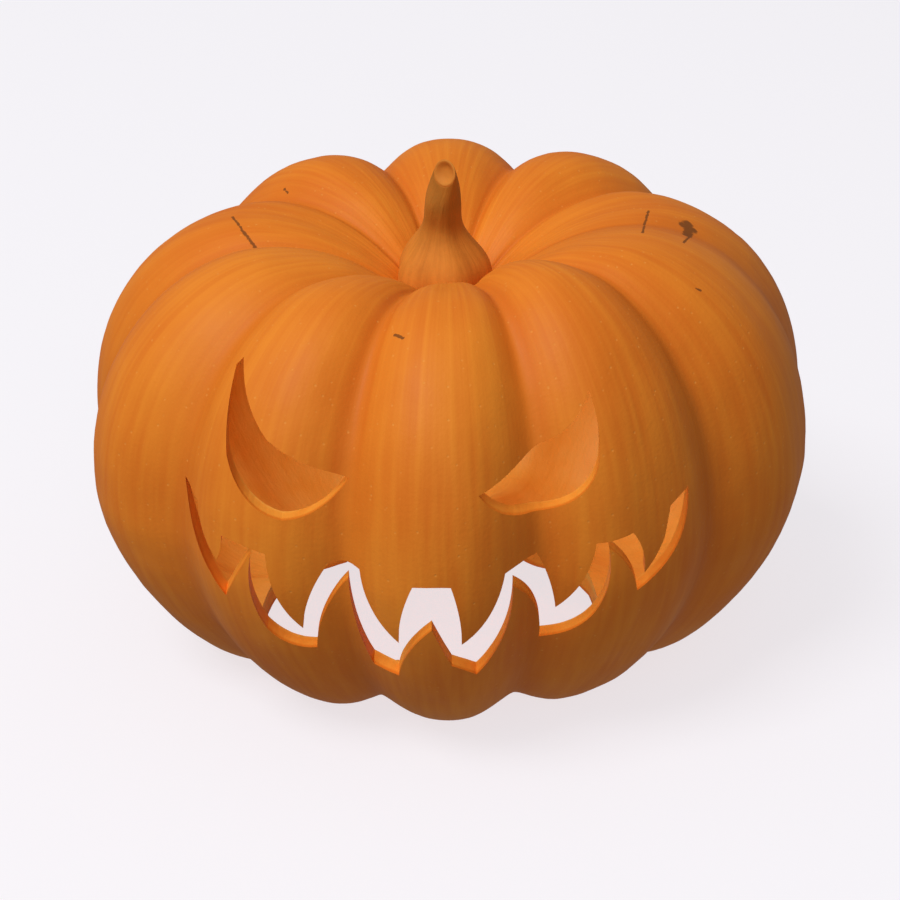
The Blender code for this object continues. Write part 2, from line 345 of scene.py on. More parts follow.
class Lead:
    """The end of a wire in a node tree. Sums on leads add Math nodes to the tree."""

    def __init__(self, tree, socket=None):
        self.tree, self.socket = tree, socket

    def add(self, kind, sockets=None, out=0, **settings):
        """Adds a node: its settings first, then its sockets' values or leads. Returns a lead from it."""
        node = self.tree.nodes.new(kind)
        for name, value in settings.items():
            setattr(node, name, value)
        for key, value in (sockets or {}).items():
            if isinstance(value, Lead):
                self.tree.links.new(value.socket, node.inputs[key])
            else:
                node.inputs[key].default_value = value
        return None if out is None else Lead(self.tree, node.outputs[out])

    def pin(self, out):
        """A lead from another output of the same node."""
        return Lead(self.tree, self.socket.node.outputs[out])

    def maths(self, operation, *others):
        return self.add("ShaderNodeMath", dict(enumerate((self, *others))), operation=operation)

    def vector(self, operation, *others, out=0):
        return self.add("ShaderNodeVectorMath", dict(enumerate((self, *others))), out, operation=operation)

    def __add__(self, other):
        return self.maths("ADD", other)

    def __sub__(self, other):
        return self.maths("SUBTRACT", other)

    def __rsub__(self, other):
        return self.add("ShaderNodeMath", {0: other, 1: self}, operation="SUBTRACT")

    def __mul__(self, other):
        return self.maths("MULTIPLY", other)

    def __truediv__(self, other):
        return self.maths("DIVIDE", other)

    def __pow__(self, other):
        return self.maths("POWER", other)

    __radd__ = __add__
    __rmul__ = __mul__


def scaled(bench, vector, factor):
    """A vector, longer by a factor."""
    return bench.add("ShaderNodeVectorMath", {0: vector, "Scale": factor}, operation="SCALE")


def smooth_step(lead, low, high):
    """0 below low, 1 above high, and a soft step between them."""
    return lead.add(
        "ShaderNodeMapRange",
        {"Value": lead, "From Min": low, "From Max": high, "To Min": 0.0, "To Max": 1.0},
        interpolation_type="SMOOTHSTEP",
    )


def noise(bench, place, scale, detail=2.0, seed=0.0):
    """Cloudy noise from about 0.2 to 0.8."""
    return bench.add(
        "ShaderNodeTexNoise",
        {"Vector": place, "W": seed, "Scale": scale, "Detail": detail, "Roughness": 0.5, "Distortion": 0.0},
        noise_dimensions="4D",
    )


def new_tree(name, inputs):
    """An empty geometry tree with named inputs and one geometry output."""
    tree = bpy.data.node_groups.new(name, "GeometryNodeTree")
    for label, kind in inputs.items():
        tree.interface.new_socket(name=label, in_out="INPUT", socket_type="NodeSocket" + kind)
    tree.interface.new_socket(name="Geometry", in_out="OUTPUT", socket_type="NodeSocketGeometry")
    return tree, Lead(tree)


def given(bench, label):
    """A lead from one of the tree's named inputs."""
    return bench.add("NodeGroupInput", out=label)


def grow(name, tree, values):
    """Runs a tree on an empty mesh, and keeps the result as a plain mesh."""
    made = bpy.data.objects.new(name, bpy.data.meshes.new(name))
    bpy.context.scene.collection.objects.link(made)
    modifier = made.modifiers.new(name, "NODES")
    modifier.node_group = tree
    for item in tree.interface.items_tree:
        if item.in_out == "INPUT":
            modifier[item.identifier] = values[item.name]
    depsgraph = bpy.context.evaluated_depsgraph_get()
    grown = bpy.data.meshes.new_from_object(
        made.evaluated_get(depsgraph), preserve_all_data_layers=True, depsgraph=depsgraph
    )
    made.modifiers.clear()
    made.data = grown
    return made


def kept_value(bench, name, kind="FLOAT"):
    """A value that was stored on the mesh."""
    return bench.add("GeometryNodeInputNamedAttribute", {"Name": name}, data_type=kind)


def store(bench, mesh, name, value, kind="FLOAT", domain="POINT"):
    """Keeps a value on the mesh under a name."""
    return bench.add(
        "GeometryNodeStoreNamedAttribute",
        {"Geometry": mesh, "Name": name, "Value": value},
        data_type=kind,
        domain=domain,
    )


def look_up(bench, table, column, index, kind="FLOAT"):
    """A table's number, or vector, in a row."""
    return bench.add(
        "GeometryNodeSampleIndex",
        {"Geometry": table, "Value": kept_value(bench, column, kind), "Index": index},
        data_type=kind,
        domain="POINT",
    )


def table_geometry(bench, label):
    """The geometry of the table that is plugged into a named input."""
    return bench.add("GeometryNodeObjectInfo", {"Object": given(bench, label)}, out="Geometry")


def tube(bench, columns, rows):
    """A closed tube: its mesh, and each point's turn from 0 to 1, row from the top and share of the rim."""
    mesh = bench.add(
        "GeometryNodeMeshCylinder",
        {"Vertices": columns, "Side Segments": rows, "Radius": 1.0, "Depth": 2.0},
        fill_type="TRIANGLE_FAN",
    )
    x = bench.add("ShaderNodeSeparateXYZ", {0: bench.add("GeometryNodeInputPosition")})
    y, up = x.pin("Y"), x.pin("Z")
    turn = (y.maths("ARCTAN2", x) / math.tau).maths("FRACT")
    row = ((1.0 - up) * rows / 2.0).maths("ROUND")
    rim = (x * x + y * y) ** 0.5
    return mesh, turn, row, rim


GROOVE_SQUEEZE = 0.4  # how much closer together the columns stand in the grooves


def lobed_surface(bench, label, columns, rows):
    """The lobed surface of the sections in a named input. It keeps how deep in a groove each point is."""
    lobes, sections = table_geometry(bench, "Lobes"), table_geometry(bench, label)
    mesh, turn, row, rim = tube(bench, columns, rows)
    counted = turn * float(len(LOBES))
    number = counted.maths("FLOOR")
    share = counted - number
    across = share - (share * math.tau).maths("SINE") * (GROOVE_SQUEEZE / math.tau)
    near = across.maths("MINIMUM", 1.0 - across)
    after = (number + 1.0).maths("FLOORED_MODULO", float(len(LOBES)))
    step = across.maths("GREATER_THAN", 0.5) * 2.0 - 1.0
    neighbour = (number + step).maths("FLOORED_MODULO", float(len(LOBES)))
    towards_groove = 0.5 + 0.5 * (near * math.tau).maths("COSINE")

    def lobe_value(column):
        """A lobe's own number on its crest, halfway to its neighbour's number in the groove."""
        own = look_up(bench, lobes, column, number)
        return own + (look_up(bench, lobes, column, neighbour) - own) * towards_groove * 0.5

    soft = look_up(bench, sections, "softness", row)
    rounded = ((4.0 * near * near + soft * soft) ** 0.5 - soft) / ((1.0 + soft * soft) ** 0.5 - soft)
    shape = (1.0 - rounded).maths("MAXIMUM", 0.0) ** GROOVE_SHARPNESS
    depth = look_up(bench, lobes, "depth", number)
    groove = shape * (depth + (look_up(bench, lobes, "depth", after) - depth) * across)
    crest_radius = look_up(bench, sections, "crest_radius", row)
    crest_height = look_up(bench, sections, "crest_height", row)
    radius = crest_radius + (look_up(bench, sections, "groove_radius", row) - crest_radius) * groove
    radius = radius * lobe_value("reach") * rim
    height = crest_height + (look_up(bench, sections, "groove_height", row) - crest_height) * groove
    height = height + look_up(bench, sections, "lift_share", row) * lobe_value("lift")
    height = height.maths("MAXIMUM", -CENTRE.z)
    angle = look_up(bench, lobes, "start", number) + look_up(bench, lobes, "span", number) * across
    place = bench.add("ShaderNodeCombineXYZ", {
        "X": radius * angle.maths("SINE") + CENTRE.x,
        "Y": CENTRE.y - radius * angle.maths("COSINE"),
        "Z": height + CENTRE.z,
    })
    mesh = store(bench, mesh, "groove", shape)
    return bench.add("GeometryNodeSetPosition", {"Geometry": mesh, "Position": place})


def push_out(bench, mesh, amount):
    """Moves a surface along its own normals."""
    offset = scaled(bench, bench.add("GeometryNodeInputNormal"), amount)
    return bench.add("GeometryNodeSetPosition", {"Geometry": mesh, "Offset": offset})


RIB_LEAN = 0.7  # how much a pattern's rows lean down as they run out from the axis


def wheel_place(bench, place, around, along):
    """A place for a pattern that follows the ribs: around and along say how quickly it changes."""
    x = bench.add("ShaderNodeSeparateXYZ", {0: place.vector("SUBTRACT", tuple(CENTRE))})
    y, up = x.pin("Y"), x.pin("Z")
    flat = scaled(bench, bench.add("ShaderNodeCombineXYZ", {"X": x, "Y": y}).vector("NORMALIZE"), around)
    out = (x * x + y * y) ** 0.5
    return flat.vector("ADD", bench.add("ShaderNodeCombineXYZ", {"Z": (up + out * RIB_LEAN) * along}))


shell_tree, bench = new_tree("lobed_shell", {
    "Lobes": "Object",
    "Skin sections": "Object",
    "Cavity sections": "Object",
    "Knife": "Object",
    "Skin columns": "Int",
    "Skin rows": "Int",
    "Cavity columns": "Int",
    "Cavity rows": "Int",
    "Lump height": "Float",
    "Wrinkle height": "Float",
    "Crease depth": "Float",
    "Scoop height": "Float",
    "Lowest corner": "Vector",
    "Highest corner": "Vector",
    "Seed": "Float",
    "Rind": "Material",
    "Flesh": "Material",
})

# The skin: broad and small lumps, wrinkles round the stem, and a crease at the bottom of each groove.
BROAD_LUMPS, SMALL_LUMPS, BROAD_SHARE = 42.0, 130.0, 0.7
WRINKLES_FROM, WRINKLES_TO = 0.018, 0.062  # distance from the axis over which the wrinkles run out
WRINKLES_LOW, WRINKLES_HIGH = 0.12, 0.14  # and the height that they start at
RESTING_HEIGHT = 0.006  # the skin is smooth where it rests
CREASE_SHARPNESS = 9.0
WRINKLE_SHAPE, SCOOP_SHAPE = (3.2, 3.0), (1.2, 9.0)  # how quickly each changes around and along the ribs
PATTERN_SCALE = 3.0

seed, place = given(bench, "Seed"), bench.add("GeometryNodeInputPosition")
skin = lobed_surface(bench, "Skin sections", given(bench, "Skin columns"), given(bench, "Skin rows"))
groove_share = kept_value(bench, "groove")
broad, small = noise(bench, place, BROAD_LUMPS, 1.0, seed), noise(bench, place, SMALL_LUMPS, 1.0, seed)
lumps = broad * BROAD_SHARE + small * (1.0 - BROAD_SHARE) - 0.5
from_axis = place.vector("SUBTRACT", tuple(CENTRE)).vector("MULTIPLY", (1.0, 1.0, 0.0))
from_axis = from_axis.vector("LENGTH", out="Value")
height = bench.add("ShaderNodeSeparateXYZ", {0: place}).pin("Z")
near_stem = 1.0 - smooth_step(from_axis, WRINKLES_FROM, WRINKLES_TO)
near_stem = near_stem * smooth_step(height, WRINKLES_LOW, WRINKLES_HIGH)
wrinkles = noise(bench, wheel_place(bench, place, *WRINKLE_SHAPE), PATTERN_SCALE, 2.0, seed) - 0.5
raised = lumps * given(bench, "Lump height") + wrinkles * near_stem * given(bench, "Wrinkle height")
raised = raised - groove_share ** CREASE_SHARPNESS * given(bench, "Crease depth")
resting = smooth_step(height, 0.0, RESTING_HEIGHT)

# The lumps die away where the fruit is widest, so that it keeps its measured size.
CLEAR_FROM, CLEAR_TO = 0.0002, 0.005
lowest, highest = given(bench, "Lowest corner"), given(bench, "Highest corner")
to_side = highest.vector("SUBTRACT", place).vector("MINIMUM", place.vector("SUBTRACT", lowest))
to_side = bench.add("ShaderNodeSeparateXYZ", {0: to_side})
clear_of_side = smooth_step(to_side.maths("MINIMUM", to_side.pin("Y")), CLEAR_FROM, CLEAR_TO)
skin = push_out(bench, skin, raised * resting * clear_of_side)
kept = place.vector("MAXIMUM", lowest).vector("MINIMUM", highest)
skin = bench.add("GeometryNodeSetPosition", {"Geometry": skin, "Position": kept})

# The cavity: the same lobes, further in, with the spoon's shallow scoops.
cavity_columns, cavity_rows = given(bench, "Cavity columns"), given(bench, "Cavity rows")
cavity = lobed_surface(bench, "Cavity sections", cavity_columns, cavity_rows)
scoops = noise(bench, wheel_place(bench, place, *SCOOP_SHAPE), PATTERN_SCALE, 3.0, seed) - 0.5
cavity = push_out(bench, cavity, scoops * given(bench, "Scoop height"))
cavity = bench.add("GeometryNodeFlipFaces", {"Mesh": cavity})

# A cut face keeps the mark 0, so an edge between it and a grown wall has a mean mark that ends in a half.
SKIN_MARK, CAVITY_MARK, CLOSE = 1.0, 3.0, 0.1
skin = store(bench, skin, "layer", SKIN_MARK, domain="FACE")
cavity = store(bench, cavity, "layer", CAVITY_MARK, domain="FACE")
hollow = bench.add("GeometryNodeJoinGeometry", {"Geometry": skin})
shell_tree.links.new(cavity.socket, hollow.socket.node.inputs["Geometry"])
carved = bench.add(
    "GeometryNodeMeshBoolean",
    {"Mesh 1": hollow, "Mesh 2": table_geometry(bench, "Knife")},
    operation="DIFFERENCE",
    solver="EXACT",
)
layer = kept_value(bench, "layer")
outside = layer.maths("COMPARE", SKIN_MARK, CLOSE)
grown_wall = layer.maths("GREATER_THAN", CLOSE)
cut_edge = layer.maths("FRACT").maths("GREATER_THAN", CLOSE)
depth = bench.add("GeometryNodeProximity", {"Geometry": skin}, out="Distance", target_element="FACES")
groove_there = bench.add(
    "GeometryNodeSampleNearestSurface", {"Mesh": skin, "Value": groove_share}, data_type="FLOAT"
)
carved = store(bench, carved, "depth", depth)
carved = store(bench, carved, "groove", groove_there)
carved = bench.add("GeometryNodeSetShadeSmooth", {"Geometry": carved, "Shade Smooth": grown_wall})
carved = store(bench, carved, "sharp_edge", cut_edge, "BOOLEAN", "EDGE")
carved = bench.add("GeometryNodeRealizeInstances", {"Geometry": carved})
carved = bench.add("GeometryNodeSetMaterial", {"Geometry": carved, "Material": given(bench, "Flesh")})
carved = bench.add(
    "GeometryNodeSetMaterial",
    {"Geometry": carved, "Selection": outside, "Material": given(bench, "Rind")},
)
bench.add("NodeGroupOutput", {"Geometry": carved}, out=None)


def new_material(name, **uniform):
    """A material with its uniform values set on the shader, and a lead into its tree."""
    material = bpy.data.materials.new(name)
    material.use_nodes = True
    shader = material.node_tree.nodes["Principled BSDF"]
    for socket, value in uniform.items():
        shader.inputs[socket.replace("_", " ")].default_value = value
    return material, shader, Lead(material.node_tree)


def blend(bench, mask, low, high):
    """The colour low where the mask is 0 and high where it is 1."""
    return bench.add("ShaderNodeMix", {0: mask, 6: low, 7: high}, out=2, data_type="RGBA")


def connect(shader, **leads):
    """Plugs leads into the shader's sockets."""
    for socket, lead in leads.items():
        lead.tree.links.new(lead.socket, shader.inputs[socket.replace("_", " ")])


BUMP_STRENGTH = 0.4


def bumped(bench, height, depth):
    """Normals roughened by a pattern, as if it stood up to depth millimetres out of the surface."""
    sockets = {"Height": height, "Strength": BUMP_STRENGTH, "Distance": depth * MM}
    return bench.add("ShaderNodeBump", sockets)


def kept_mark(bench, name, out="Fac"):
    """A value that was stored on the mesh, in a material."""
    return bench.add("ShaderNodeAttribute", out=out, attribute_name=name)


# Old nicks and a scab that healed brown: (one end, other end, half-width) in millimetres from the centre.
SCARS = (
    ((-85.8, 19.8, 86.5), (-80.5, 6.8, 85.1), 0.5),
    ((-80.5, 6.8, 85.1), (-75.4, -1.2, 81.8), 0.6),
    ((-66.7, 50.7, 86.8), (-65.3, 47.4, 86.3), 0.45),
    ((-19.5, -85.2, 79.9), (-16.6, -89.3, 80.5), 0.5),
    ((80.1, 15.2, 87.9), (75.1, -15.1, 90.4), 0.4),
    ((93.8, 10.2, 84.0), (97.6, 9.6, 82.1), 2.0),
    ((95.8, 12.6, 83.2), (95.8, 8.0, 83.2), 2.3),
    ((95.8, 6.5, 83.3), (94.6, 0.5, 84.3), 1.9),
    ((96.9, 6.0, 81.8), (91.0, -16.0, 86.3), 0.45),
    ((92.8, -46.1, 79.5), (94.3, -46.0, 78.7), 0.45),
)
SCAR_BROWN = (0.17, 0.055, 0.012, 1.0)
SCAR_RAGGED, SCAR_NOISE = 1.8, 700.0  # how far the edges wander in millimetres, and how often in a metre
SCAR_EDGE = (0.7, 1.3)  # where an edge fades out, in shares of the half-width
SKIN_LEAN = 0.3  # how far the skin leans out where the scars are


def scar_mask(bench, place):
    """1 on the scars, with ragged edges. How far a point stands off the skin doesn't count."""
    centred = place.vector("SUBTRACT", tuple(CENTRE))
    ragged = (noise(bench, place, SCAR_NOISE, 3.0) - 0.5) * (SCAR_RAGGED * MM)
    mask = None
    for one, other, half in SCARS:
        start, line = Vector(one) * MM, (Vector(other) - Vector(one)) * MM
        off = Vector((one[0] * SKIN_LEAN, one[1] * SKIN_LEAN, one[2])).normalized()
        from_start = centred.vector("SUBTRACT", tuple(start))
        share = from_start.vector("DOT_PRODUCT", tuple(line / line.length_squared), out="Value")
        share = share.maths("MAXIMUM", 0.0).maths("MINIMUM", 1.0)
        gap = from_start.vector("SUBTRACT", scaled(bench, tuple(line), share))
        gap = gap.vector("SUBTRACT", gap.vector("PROJECT", tuple(off))).vector("LENGTH", out="Value")
        one_mask = 1.0 - smooth_step(gap + ragged, *(edge * half * MM for edge in SCAR_EDGE))
        mask = one_mask if mask is None else mask.maths("MAXIMUM", one_mask)
    return mask


RIND_DEEP = (0.73, 0.172, 0.012, 1.0)
RIND_LIGHT = (0.86, 0.265, 0.022, 1.0)
# the grooves' colour: partly the rind's own deeper tone, partly painted shade in the creases
RIND_GROOVE_TONE_AND_SHADE = (0.62, 0.135, 0.009, 1.0)
RIND_FLECK = (0.92, 0.42, 0.09, 1.0)
RIND_MOTTLE, DULL_PATCHES, FLECK_CELLS, RIND_PORES = 16.0, 60.0, 360.0, 650.0  # how many to a metre
STREAK_SHAPE, STREAK_SCALE = (9.0, 6.0), 4.0
FLECK_EDGE = (0.05, 0.24)  # where a fleck fades out, in shares of its cell
FLECK_LOT = (0.6, 0.9)  # a cell whose lot is under the first has no fleck, over the second a full one
RIND_RELIEF = 0.7  # in millimetres


def rind_material():
    """Waxy skin, streaked along the ribs, darker and redder in the grooves (partly the rind's own deeper
    tone, partly painted shade in the creases), with small pale flecks and old scars.
    """
    material, shader, bench = new_material(
        "rind", Coat_Weight=0.02, Coat_Roughness=0.4, Specular_IOR_Level=0.18, IOR=1.45
    )
    place = bench.add("ShaderNodeTexCoord", out="Object")
    mottle = noise(bench, place, RIND_MOTTLE, 4.0)
    streaks = noise(bench, wheel_place(bench, place, *STREAK_SHAPE), STREAK_SCALE, 5.0)
    patchy = smooth_step(mottle * 0.55 + streaks * 0.45, 0.30, 0.70)
    colour = blend(bench, patchy, RIND_DEEP, RIND_LIGHT)
    # painted shade, in part: the colour darkens and reddens towards the bottom of each groove, partly the
    # rind's own deeper tone there and partly painted shade in the crease
    colour = blend(bench, kept_mark(bench, "groove") ** 3.0 * 0.5, colour, RIND_GROOVE_TONE_AND_SHADE)
    cells = bench.add("ShaderNodeTexVoronoi", {"Vector": place, "Scale": FLECK_CELLS}, out="Distance")
    lot = bench.add("ShaderNodeSeparateXYZ", {0: cells.pin("Color")})
    fleck = (1.0 - smooth_step(cells, *FLECK_EDGE)) * smooth_step(lot, *FLECK_LOT)
    colour = blend(bench, fleck * 0.35, colour, RIND_FLECK)
    scars = scar_mask(bench, place)
    colour = blend(bench, scars * 0.85, colour, SCAR_BROWN)
    fine = noise(bench, place, RIND_PORES, 3.0)
    height = fine * 0.4 + streaks * 0.7 + mottle * 0.4 - fleck * 0.3 - scars * 0.8
    rough = 0.46 + 0.2 * noise(bench, place, DULL_PATCHES, 3.0) + fleck * 0.1 + scars * 0.25
    connect(shader, Base_Color=colour, Roughness=rough, Normal=bumped(bench, height, RIND_RELIEF))
    return material


CUT_DEEP = (0.87, 0.29, 0.030, 1.0)  # the firm flesh that the knife went through
CUT_LIGHT = (0.94, 0.37, 0.045, 1.0)
SCRAPED_DEEP = (0.90, 0.39, 0.050, 1.0)  # the scraped inside
SCRAPED_LIGHT = (0.95, 0.47, 0.08, 1.0)
CUT_DEPTH = (0.005, 0.0072)  # how far under the skin the firm flesh gives way to the scraped inside
UNDER_SKIN = (0.0006, 0.0022)  # and how deep the rind's own colour goes
FLESH_MOTTLE, FLESH_PORES = 60.0, 800.0  # how many to a metre
STRING_SHAPE, STRING_SCALE = (9.0, 14.0), 4.0
FLESH_RELIEF = 0.8  # in millimetres


def flesh_material():
    """Cut flesh, with the rind's colour just under the skin, and a yellower scraped and stringy inside."""
    material, shader, bench = new_material(
        "flesh", Coat_Weight=0.03, Coat_Roughness=0.35, Specular_IOR_Level=0.2, IOR=1.4
    )
    place = bench.add("ShaderNodeTexCoord", out="Object")
    depth = kept_mark(bench, "depth")
    mottle = noise(bench, place, FLESH_MOTTLE, 4.0)
    strings = noise(bench, wheel_place(bench, place, *STRING_SHAPE), STRING_SCALE, 3.0)
    patchy = smooth_step(mottle * 0.65 + strings * 0.35, 0.32, 0.68)
    cut = blend(bench, patchy, CUT_DEEP, CUT_LIGHT)
    scraped = blend(bench, patchy, SCRAPED_DEEP, SCRAPED_LIGHT)
    colour = blend(bench, smooth_step(depth, *CUT_DEPTH), cut, scraped)
    under_skin = 1.0 - smooth_step(depth, *UNDER_SKIN)
    colour = blend(bench, under_skin * 0.8, colour, RIND_DEEP)
    height = strings + noise(bench, place, FLESH_PORES, 3.0) * 0.5
    rough = 0.42 + 0.2 * strings
    connect(shader, Base_Color=colour, Roughness=rough, Normal=bumped(bench, height, FLESH_RELIEF))
    return material


shell = grow("pumpkin_shell", shell_tree, {
    "Lobes": lobe_table,
    "Skin sections": skin_table,
    "Cavity sections": cavity_table,
    "Knife": knife,
    "Skin columns": SKIN_COLUMNS,
    "Skin rows": sum(SKIN_ROWS),
    "Cavity columns": CAVITY_COLUMNS,
    "Cavity rows": sum(CAVITY_ROWS),
    "Lump height": 1.3 * MM,
    "Wrinkle height": 1.6 * MM,
    "Crease depth": 0.5 * MM,
    "Scoop height": 1.6 * MM,
    "Lowest corner": tuple(cad_box[0]),
    "Highest corner": tuple(cad_box[1]),
    "Seed": 3.0,
    "Rind": rind_material(),
    "Flesh": flesh_material(),
})
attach(shell, "root")
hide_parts("pumpkin")

# ---------------------------------------------------------------------------------------------------------
# The dried stem. It is the vine's own stalk, corky and ribbed, grown out of the crown with a flared foot.
# It leans forward, its top is cut on a slant, and the pith there has shrunk to a shallow dish.

STEM_AXIS = ((-2.0, 0.0, 55.0), (-2.0, 0.5, 88.0), (-2.6, -3.0, 98.0), (-0.6, -12.2, 115.3))
FOOT_RADIUS, NECK_RADIUS, TIP_RADIUS = 18.6, 7.1, 5.2
FOOT_TUCK, TUCK_END = 6.6, 0.15  # how much the foot draws in below, and up to what share of the length
FLARE_START, FLARE_LENGTH, FLARE_POWER = 0.13, 0.25, 2.5  # how the foot narrows into the neck
TIP_START = 0.6  # the share of the length where the stem starts to taper and to turn towards its cut
CUT_TURN = 1.5  # the turn's power: it is quickest near the tip
CUT_FACING = Vector((-0.62, -0.757, 0.203)).normalized()  # the way the slanting cut looks
STEM_RIBS, STEM_RIB_DEPTH, STEM_TWIST = 5.0, 0.06, 0.6  # depth in shares of the radius, twist in radians
RIB_FADE = 3.0  # the ribs run out towards the cut end with this power of the length
BARK_SCALE, BARK_DETAIL = 3.0, 3.0
STEM_ROWS, STEM_COLUMNS = 96, 160
GRAIN_LENGTH = 0.6  # how far the bark's grain runs from foot to tip, where once round is 2 pi

# The cut end's rings, from the rim inwards: (share of the rim's radius, how far the pith has sunk).
DISH = (
    (1.0, 0.0),
    (0.96, -0.25),
    (0.88, -0.3),
    (0.76, 0.05),
    (0.62, 0.7),
    (0.45, 1.2),
    (0.28, 1.4),
    (0.12, 1.45),
)


def stem_radius(along):
    """The stem's mean radius at a share of its length: a tucked foot, a flare, a neck and a tapered tip."""
    foot = math.exp(-((max(along - FLARE_START, 0.0) / FLARE_LENGTH) ** FLARE_POWER))
    tuck = FOOT_TUCK * max(1.0 - along / TUCK_END, 0.0) ** 2
    taper = (max(along - TIP_START, 0.0) / (1.0 - TIP_START)) ** 2
    return NECK_RADIUS + (FOOT_RADIUS - NECK_RADIUS) * foot - tuck - (NECK_RADIUS - TIP_RADIUS) * taper


def stem_rings():
    """Each ring's middle, three directions, radius and share of the length, from the tip down."""
    rings = []
    side = Vector((1.0, 0.0, 0.0))
    step = 0.01
    for i in range(STEM_ROWS + 1):
        along = i / STEM_ROWS
        above = bezier(*STEM_AXIS, min(along + step, 1.0))
        below = bezier(*STEM_AXIS, max(along - step, 0.0))
        turned = (max(along - TIP_START, 0.0) / (1.0 - TIP_START)) ** CUT_TURN
        up = ((above - below).normalized() * (1.0 - turned) + CUT_FACING * turned).normalized()
        side = (side - up * side.dot(up)).normalized()
        rings.append((bezier(*STEM_AXIS, along), side, up.cross(side), up, stem_radius(along), along))
    rings.reverse()
    middle, side, out, up, radius, along = rings[0]
    dish = [(middle - up * sunk, side, out, up, radius * share, along) for share, sunk in DISH[:0:-1]]
    return dish + rings


rings = stem_rings()
stem_table = table_object("stem_rings", {
    "middle": [CENTRE + ring[0] * MM for ring in rings],
    "side": [ring[1] for ring in rings],
    "out": [ring[2] for ring in rings],
    "radius": [ring[4] * MM for ring in rings],
    "along": [ring[5] for ring in rings],
})

stem_tree, bench = new_tree("ribbed_stem", {
    "Rings": "Object",
    "Columns": "Int",
    "Rows": "Int",
    "Ribs": "Float",
    "Rib depth": "Float",
    "Twist": "Float",
    "Fibre height": "Float",
    "Seed": "Float",
    "Cork": "Material",
})
table = table_geometry(bench, "Rings")
mesh, turn, row, rim = tube(bench, given(bench, "Columns"), given(bench, "Rows"))
angle = turn * math.tau
round_x, round_y = angle.maths("COSINE"), angle.maths("SINE")
along = look_up(bench, table, "along", row)
ribs = (angle * given(bench, "Ribs") + along * given(bench, "Twist")).maths("COSINE")
rib_depth = given(bench, "Rib depth") * (1.0 - along ** RIB_FADE)
radius = look_up(bench, table, "radius", row) * (1.0 + rib_depth * ribs) * rim
side = scaled(bench, look_up(bench, table, "side", row, "FLOAT_VECTOR"), radius * round_x)
out = scaled(bench, look_up(bench, table, "out", row, "FLOAT_VECTOR"), radius * round_y)
place = look_up(bench, table, "middle", row, "FLOAT_VECTOR").vector("ADD", side).vector("ADD", out)
grain = bench.add("ShaderNodeCombineXYZ", {"X": round_x, "Y": round_y, "Z": along * GRAIN_LENGTH})
mesh = store(bench, mesh, "grain", grain, "FLOAT_VECTOR")
mesh = store(bench, mesh, "cut", row.maths("LESS_THAN", len(DISH) - 0.5))
mesh = bench.add("GeometryNodeSetPosition", {"Geometry": mesh, "Position": place})
kept_grain = kept_value(bench, "grain", "FLOAT_VECTOR")
fibres = noise(bench, kept_grain, BARK_SCALE, BARK_DETAIL, given(bench, "Seed")) - 0.5
bark = 1.0 - kept_value(bench, "cut")
mesh = push_out(bench, mesh, fibres * bark * given(bench, "Fibre height"))
mesh = bench.add("GeometryNodeSetShadeSmooth", {"Geometry": mesh})
mesh = bench.add("GeometryNodeRealizeInstances", {"Geometry": mesh})
mesh = bench.add("GeometryNodeSetMaterial", {"Geometry": mesh, "Material": given(bench, "Cork")})
bench.add("NodeGroupOutput", {"Geometry": mesh}, out=None)

CORK_DARK = (0.58, 0.185, 0.020, 1.0)
CORK_LIGHT = (0.78, 0.265, 0.032, 1.0)
# painted shade: the dark brown that the bark turns to up the neck
CORK_NECK_SHADE = (0.30, 0.135, 0.020, 1.0)
PITH = (0.72, 0.26, 0.040, 1.0)
NECK_SHADE_SPAN = (0.30, 0.62)  # the shares of the length over which painted shade darkens the bark
FIBRE_SCALE = 9.0
BARK_BLOTCHES, BARK_PORES = 90.0, 600.0  # how many to a metre
BARK_RELIEF = 0.8  # in millimetres


def cork_material():
    """Dull corky bark with a soft grain, painted shade darkening it up the neck, and a paler pith in the
    cut end.
    """
    material, shader, bench = new_material("stem_cork", Specular_IOR_Level=0.25, IOR=1.4)
    grain = kept_mark(bench, "grain", "Vector")
    cut = kept_mark(bench, "cut")
    place = bench.add("ShaderNodeTexCoord", out="Object")
    fibres = noise(bench, grain, FIBRE_SCALE, 5.0)
    blotch = noise(bench, place, BARK_BLOTCHES, 3.0)
    patchy = smooth_step(fibres * 0.5 + blotch * 0.5, 0.25, 0.7)
    colour = blend(bench, patchy, CORK_DARK, CORK_LIGHT)
    along = bench.add("ShaderNodeSeparateXYZ", {0: grain}).pin("Z") / GRAIN_LENGTH
    # painted shade: the bark darkens to a browner colour up the neck
    painted_neck_shade = blend(bench, blotch, CORK_NECK_SHADE, CORK_DARK)
    colour = blend(bench, smooth_step(along, *NECK_SHADE_SPAN) * 0.85, colour, painted_neck_shade)
    colour = blend(bench, cut, colour, blend(bench, blotch, CORK_DARK, PITH))
    height = fibres * (1.0 - cut) + noise(bench, place, BARK_PORES, 3.0) * 0.4
    rough = 0.62 + 0.2 * blotch
    connect(shader, Base_Color=colour, Roughness=rough, Normal=bumped(bench, height, BARK_RELIEF))
    return material


stem = grow("pumpkin_stem", stem_tree, {
    "Rings": stem_table,
    "Columns": STEM_COLUMNS,
    "Rows": len(rings) - 1,
    "Ribs": STEM_RIBS,
    "Rib depth": STEM_RIB_DEPTH,
    "Twist": STEM_TWIST,
    "Fibre height": 0.6 * MM,
    "Seed": 5.0,
    "Cork": cork_material(),
})
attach(stem, "root")

for spent in (skin_table, cavity_table, lobe_table, knife, stem_table):
    bpy.data.objects.remove(spent)

# ---------------------------------------------------------------------------------------------------------
# The studio: a pale paper floor that shines faintly by itself, a large soft light from high on the left, a
# weak one from the front, and an even white surround.

